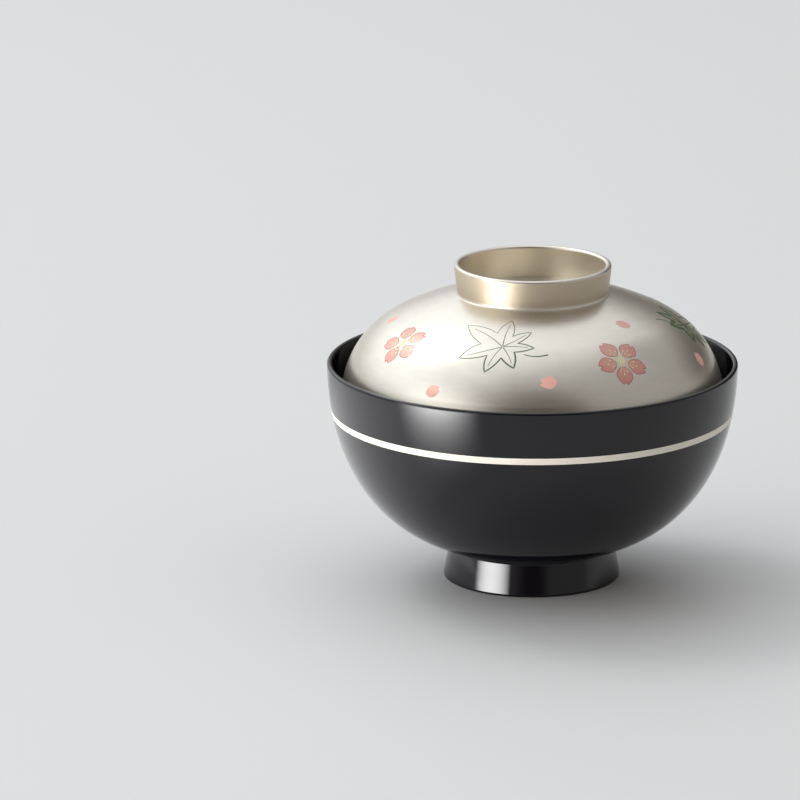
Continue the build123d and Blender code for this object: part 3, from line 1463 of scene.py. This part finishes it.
tent_direction = (-0.54, 0.60, 0.59)  # the bright side of the tent, at the back, left and top
tent_stops = (
    (0.0, (0.05, 0.042, 0.033, 1.0)),
    (0.23, (0.27, 0.265, 0.26, 1.0)),
    (0.45, (0.275, 0.275, 0.275, 1.0)),
    (0.60, (0.29, 0.29, 0.295, 1.0)),
    (0.72, (0.41, 0.42, 0.425, 1.0)),
    (0.82, (0.62, 0.65, 0.67, 1.0)),
    (1.0, (0.91, 0.96, 1.0, 1.0)),
)
tent_flags = (  # dim patches of the tent: direction, cosine of the half angle, and depth
    ((0.3415, 0.938, 0.052), 0.87, 2.8),
    ((0.649, 0.721, 0.242), 0.92, 1.1),
    ((0.73, 0.42, 0.54), 0.85, 0.5),
    ((-0.01, -0.88, 0.47), 0.76, 1.65),
)
tent_hem = 0.36  # sine of the elevation below which the tent evens out
hem_fade = 2.2  # how fast it does
darkest_shade = -1.2  # the shade at the first stop; at the last stop it is 1


def set_world(scene, strength):
    """A light tent, bright on one side and dim on the other."""
    world = bpy.data.worlds.new("studio")
    world.use_nodes = True
    graph = Graph(world.node_tree)
    direction = graph.add("ShaderNodeTexCoord")["Generated"]
    height = graph.parts(direction)["Z"]
    shade = graph.dot(direction, tent_direction) * (1 - hem_fade * at_least_zero(tent_hem - height))
    for flag_direction, edge, depth in tent_flags:
        shade = shade - depth / (1 - edge) * at_least_zero(graph.dot(direction, flag_direction) - edge)
    along_stops = (shade - darkest_shade) / (1 - darkest_shade)
    glow = graph.add("ShaderNodeValToRGB", {"stops": tent_stops}, {"Fac": along_stops})["Color"]
    light = graph.add("ShaderNodeBackground", inputs={"Color": glow, "Strength": strength})["Background"]
    graph.add("ShaderNodeOutputWorld", inputs={"Surface": light})
    scene.world = world


target_pixel = Vector((532.3, 411.0))  # where the middle of the bowl appears in the photograph
picture_size = 800
sensor_size = 36.0  # millimetres


def set_camera(scene, stage):
    """The camera, panned so that the bowl stands where it does in the photograph."""
    tilt = stage.camera_elevation
    back = Vector((0, -math.cos(tilt), math.sin(tilt)))
    up = Vector((0, math.sin(tilt), math.cos(tilt)))
    right = Vector((1, 0, 0))
    pixel = stage.camera_distance * sensor_size / stage.focal_length / picture_size
    shift = (target_pixel - Vector((picture_size, picture_size)) / 2) * pixel
    aim = bowl_middle - right * shift.x + up * shift.y
    camera_data = bpy.data.cameras.new("camera")
    camera_data.lens = stage.focal_length
    camera_data.sensor_width = sensor_size
    camera_data.clip_end = 100.0
    camera = bpy.data.objects.new("camera", camera_data)
    camera.location = bowl_middle + back * stage.camera_distance
    camera.rotation_mode = "QUATERNION"
    camera.rotation_quaternion = (aim - camera.location).to_track_quat("-Z", "Y")
    scene.collection.objects.link(camera)
    scene.camera = camera


class SoupBowlPanel(bpy.types.Panel):
    """Lists the steps that make the bowl"""

    bl_idname = "VIEW3D_PT_soup_bowl"
    bl_label = "Covered Soup Bowl"
    bl_space_type = "VIEW_3D"
    bl_region_type = "UI"
    bl_category = "Soup Bowl"

    def draw(self, context):
        for operator in operators:
            self.layout.operator(operator.bl_idname)
        scene = context.scene
        for settings in (scene.soup_bowl_finish, scene.soup_bowl_paint, scene.soup_bowl_stage):
            for name in settings.__annotations__:
                self.layout.prop(settings, name)


painting = (PaintBlossoms, PaintPetals, PaintLeaves, PaintGold)
operators = (TurnBowl, LaySilverLine, TurnLid, *painting, SetStage)
classes = (FinishSettings, PaintSettings, StageSettings, *operators, SoupBowlPanel)


def register():
    for each in classes:
        bpy.utils.register_class(each)
    bpy.types.Scene.soup_bowl_finish = PointerProperty(type=FinishSettings)
    bpy.types.Scene.soup_bowl_paint = PointerProperty(type=PaintSettings)
    bpy.types.Scene.soup_bowl_stage = PointerProperty(type=StageSettings)


def unregister():
    del bpy.types.Scene.soup_bowl_stage
    del bpy.types.Scene.soup_bowl_paint
    del bpy.types.Scene.soup_bowl_finish
    for each in reversed(classes):
        bpy.utils.unregister_class(each)


def main():
    register()
    bpy.ops.soup_bowl.turn_bowl()
    bpy.ops.soup_bowl.lay_silver_line()
    bpy.ops.soup_bowl.turn_lid()
    bpy.ops.soup_bowl.paint_blossoms()
    bpy.ops.soup_bowl.paint_petals()
    bpy.ops.soup_bowl.paint_leaves()
    bpy.ops.soup_bowl.paint_gold()
    bpy.ops.soup_bowl.set_stage()


if __name__ == "__main__":
    main()
